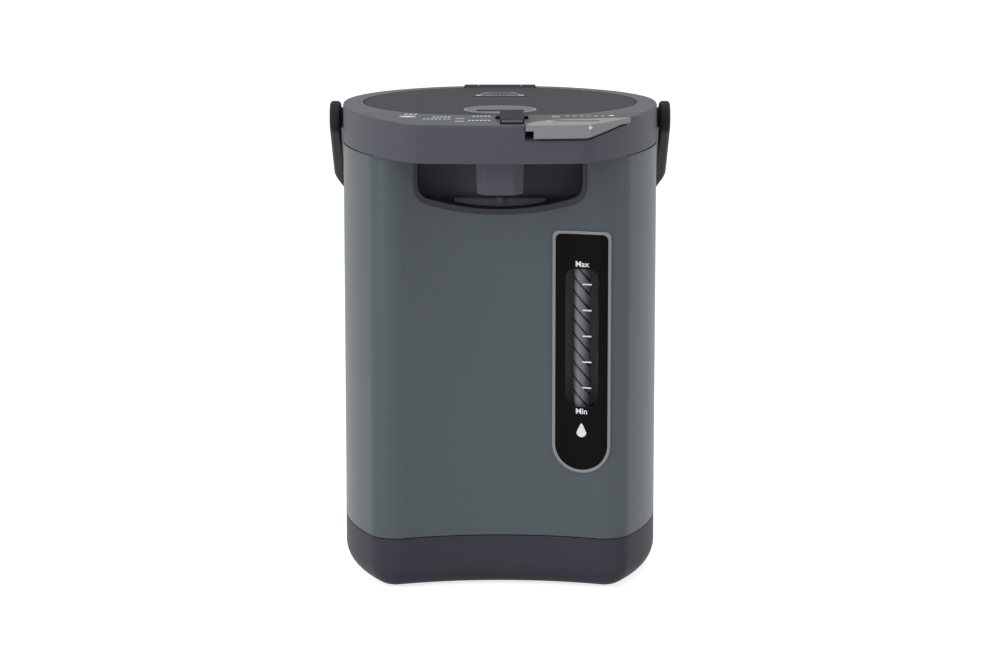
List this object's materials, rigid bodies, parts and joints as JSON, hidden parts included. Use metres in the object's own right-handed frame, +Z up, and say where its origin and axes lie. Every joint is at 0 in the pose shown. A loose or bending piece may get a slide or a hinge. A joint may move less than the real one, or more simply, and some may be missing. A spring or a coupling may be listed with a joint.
{
  "type": "electric thermo pot",
  "caption": "Electric hot-water pot: casing with a concave front, spout under a nose, flip lid, press lever, level window, pump and bail handle.",
  "frame": {"origin": "centre of the bounding box, at the surface that the feet stand on", "axes": "+Z up; the spout and nose point to -Y; +X is to the right as seen from the front"},
  "size_m": [0.2306, 0.27, 0.3222],
  "materials": {
    "body_paint": "satin grey-green paint",
    "dark_plastic": "fine matt texture",
    "inner_plastic": "matt",
    "trim_plastic": "satin",
    "panel_grey": "satin",
    "lever_silver": "silver paint",
    "cup_silver": "silver paint",
    "vent_silver": "silver paint",
    "slider_navy": "satin",
    "window_black": "gloss",
    "bezel_silver": "silver paint",
    "clear_plastic": "clear",
    "steel": "brushed",
    "aluminium_plate": "plain",
    "seal_rubber": "matt",
    "pale_plastic": "plain",
    "felt": "felt",
    "board_green": "satin",
    "pin_brass": "bright"
  },
  "bodies": {
    "pot": {"base_skirt": "dark_plastic", "bay_liner": "inner_plastic", "bay_trim": "trim_plastic", "bottom_cover": "inner_plastic", "bottom_screws": "steel", "collar": "dark_plastic", "control_board": "board_green", "control_panel": "panel_grey", "cup_lever_pin": "steel", "dispense_switch": "pale_plastic", "feet": "seal_rubber", "handle_pivots": "dark_plastic", "heater_element": "steel", "heater_plate": "aluminium_plate", "hinge_block": "dark_plastic", "hinge_pin": "steel", "indicator_lenses": "clear_plastic", "inlet_filter": "steel", "inlet_grommet": "seal_rubber", "inlet_pins": "pin_brass", "inner_tank": "steel", "insulation_wrap": "felt", "level_backing": "inner_plastic", "level_tube": "clear_plastic", "lever_pin": "steel", "lever_spring": "steel", "motor_can": "steel", "nose_cover": "inner_plastic", "outer_shell": "body_paint", "outlet_hose": "seal_rubber", "power_board": "board_green", "power_inlet": "inner_plastic", "pump_housing": "inner_plastic", "slider_track": "slider_navy", "spout_hose": "seal_rubber", "spout_nozzle": "pale_plastic", "spout_shroud": "inner_plastic", "tank_seal": "seal_rubber", "thermal_cutouts": "pale_plastic", "tie_rods": "steel", "tube_seals": "seal_rubber", "window_bezel": "bezel_silver", "window_lens": "clear_plastic", "window_panel": "window_black"},
    "lid": {"lid_top": "dark_plastic", "lid_liner": "inner_plastic", "inner_cover": "steel", "lid_gasket": "seal_rubber", "finger_cup": "cup_silver", "latch_pin": "steel", "latch_spring": "steel", "vent_cap": "vent_silver"},
    "latch": {"lid_latch": "slider_navy"},
    "valve": {"steam_valve": "seal_rubber"},
    "slider": {"lock_slider": "slider_navy"},
    "lever": {"dispense_lever": "lever_silver"},
    "cup_press": {"cup_lever": "trim_plastic"},
    "bail": {"handle": "dark_plastic"},
    "impeller": {"pump_impeller": "pale_plastic"},
    "rotor": {"motor_rotor": "steel"}
  },
  "joints": [
    {"name": "lid_hinge", "type": "hinge", "parent": "pot", "child": "lid", "pos_m": [0, 0.1103, 0.3154], "axis": [-1, 0, 0], "range_deg": [0, 85]},
    {"name": "latch_pivot", "type": "hinge", "parent": "lid", "child": "latch", "pos_m": [0, -0.054, 0.3122], "axis": [1, 0, 0], "range_deg": [0, 5], "stiffness_Nm_per_rad": 0.05, "springref_deg": -11.46, "deforming": ["latch_spring"]},
    {"name": "valve_slide", "type": "slide", "parent": "lid", "child": "valve", "axis": [0, 0, 1], "range_m": [0, 0.002]},
    {"name": "lock_slide", "type": "slide", "parent": "pot", "child": "slider", "axis": [0, -1, 0], "range_m": [0, 0.007]},
    {"name": "lever_press", "type": "hinge", "parent": "pot", "child": "lever", "pos_m": [0.05, -0.0985, 0.3134], "axis": [1, 0, 0], "range_deg": [0, 4], "stiffness_Nm_per_rad": 0.5, "springref_deg": -5.73, "deforming": ["lever_spring"]},
    {"name": "cup_press_hinge", "type": "hinge", "parent": "pot", "child": "cup_press", "pos_m": [0, -0.06, 0.2604], "axis": [1, 0, 0], "range_deg": [0, 10], "stiffness_Nm_per_rad": 0.05, "springref_deg": -5.73},
    {"name": "handle_swing", "type": "hinge", "parent": "pot", "child": "bail", "pos_m": [0, 0.0155, 0.3066], "axis": [1, 0, 0], "range_deg": [0, 145]},
    {"name": "rotor_spin", "type": "hinge", "parent": "pot", "child": "rotor", "pos_m": [0.043, -0.022, 0.0255], "axis": [0, 0, 1], "continuous": true},
    {"name": "impeller_spin", "type": "hinge", "parent": "pot", "child": "impeller", "pos_m": [0.043, -0.022, 0.0455], "axis": [0, 0, 1], "continuous": true}
  ],
  "couplings": [
    {"joint": "impeller_spin", "follows": "rotor_spin", "ratio": 1}
  ]
}
